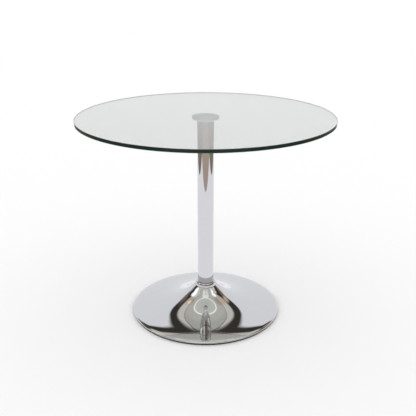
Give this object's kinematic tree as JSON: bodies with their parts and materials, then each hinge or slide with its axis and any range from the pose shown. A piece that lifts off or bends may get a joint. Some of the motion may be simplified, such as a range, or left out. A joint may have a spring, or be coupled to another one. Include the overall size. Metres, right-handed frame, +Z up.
{
  "type": "round glass pedestal dining table",
  "caption": "Round clear glass dining table on a chromed tubular column with a spun trumpet base, iron ballast and levelling glides under it.",
  "frame": {"origin": "on the floor, on the column's axis", "axes": "+Z up along the column; the table is round, so X and Y are free"},
  "size_m": [0.9, 0.9, 0.75],
  "materials": {
    "glass": "clear float glass, polished green edge",
    "bond_film": "clear cured adhesive",
    "disc_steel": "fine turned face, polished edge",
    "chrome": "mirror chrome plate",
    "zinc": "bright zinc plate",
    "iron": "sand cast, painted charcoal",
    "black_steel": "black powder coat",
    "rubber": "matt moulded rubber",
    "nylon": "black moulded nylon"
  },
  "bodies": {
    "table": {"glass_top": "glass", "adhesive_film": "bond_film", "top_disc": "disc_steel", "column_tube": "chrome", "column_top_plug": "nylon", "column_foot_plug": "nylon", "tie_rod": "zinc", "collar": "chrome", "base_shell": "chrome", "ballast": "iron", "bottom_plate": "black_steel", "rim_trim": "rubber", "access_cap": "nylon", "rod_washer": "zinc", "rod_spring_washer": "zinc", "rod_nut": "zinc", "glide_1_weld_nut": "zinc", "glide_2_weld_nut": "zinc", "glide_3_weld_nut": "zinc", "glide_4_weld_nut": "zinc", "glide_5_weld_nut": "zinc", "plate_screw_1": "zinc", "plate_screw_2": "zinc", "plate_screw_3": "zinc", "plate_screw_4": "zinc", "plate_screw_5": "zinc"},
    "glide_1_pad": {"glide_1_pad": "nylon"},
    "glide_1_stud": {"glide_1_stud": "zinc"},
    "glide_2_pad": {"glide_2_pad": "nylon"},
    "glide_2_stud": {"glide_2_stud": "zinc"},
    "glide_3_pad": {"glide_3_pad": "nylon"},
    "glide_3_stud": {"glide_3_stud": "zinc"},
    "glide_4_pad": {"glide_4_pad": "nylon"},
    "glide_4_stud": {"glide_4_stud": "zinc"},
    "glide_5_pad": {"glide_5_pad": "nylon"},
    "glide_5_stud": {"glide_5_stud": "zinc"}
  },
  "joints": [
    {"name": "glide_1_raise", "type": "slide", "parent": "table", "child": "glide_1_pad", "axis": [0, 0, -1], "range_m": [0, 0.005]},
    {"name": "glide_1_turn", "type": "hinge", "parent": "glide_1_pad", "child": "glide_1_stud", "pos_m": [0, 0.215, 0], "axis": [0, 0, -1], "range_deg": [0, 1440]},
    {"name": "glide_2_raise", "type": "slide", "parent": "table", "child": "glide_2_pad", "axis": [0, 0, -1], "range_m": [0, 0.005]},
    {"name": "glide_2_turn", "type": "hinge", "parent": "glide_2_pad", "child": "glide_2_stud", "pos_m": [-0.20448, 0.06644, 0], "axis": [0, 0, -1], "range_deg": [0, 1440]},
    {"name": "glide_3_raise", "type": "slide", "parent": "table", "child": "glide_3_pad", "axis": [0, 0, -1], "range_m": [0, 0.005]},
    {"name": "glide_3_turn", "type": "hinge", "parent": "glide_3_pad", "child": "glide_3_stud", "pos_m": [-0.12637, -0.17394, 0], "axis": [0, 0, -1], "range_deg": [0, 1440]},
    {"name": "glide_4_raise", "type": "slide", "parent": "table", "child": "glide_4_pad", "axis": [0, 0, -1], "range_m": [0, 0.005]},
    {"name": "glide_4_turn", "type": "hinge", "parent": "glide_4_pad", "child": "glide_4_stud", "pos_m": [0.12637, -0.17394, 0], "axis": [0, 0, -1], "range_deg": [0, 1440]},
    {"name": "glide_5_raise", "type": "slide", "parent": "table", "child": "glide_5_pad", "axis": [0, 0, -1], "range_m": [0, 0.005]},
    {"name": "glide_5_turn", "type": "hinge", "parent": "glide_5_pad", "child": "glide_5_stud", "pos_m": [0.20448, 0.06644, 0], "axis": [0, 0, -1], "range_deg": [0, 1440]}
  ],
  "couplings": [
    {"joint": "glide_1_turn", "follows": "glide_1_raise", "rad_per_m": 5026.5},
    {"joint": "glide_2_turn", "follows": "glide_2_raise", "rad_per_m": 5026.5},
    {"joint": "glide_3_turn", "follows": "glide_3_raise", "rad_per_m": 5026.5},
    {"joint": "glide_4_turn", "follows": "glide_4_raise", "rad_per_m": 5026.5},
    {"joint": "glide_5_turn", "follows": "glide_5_raise", "rad_per_m": 5026.5}
  ]
}
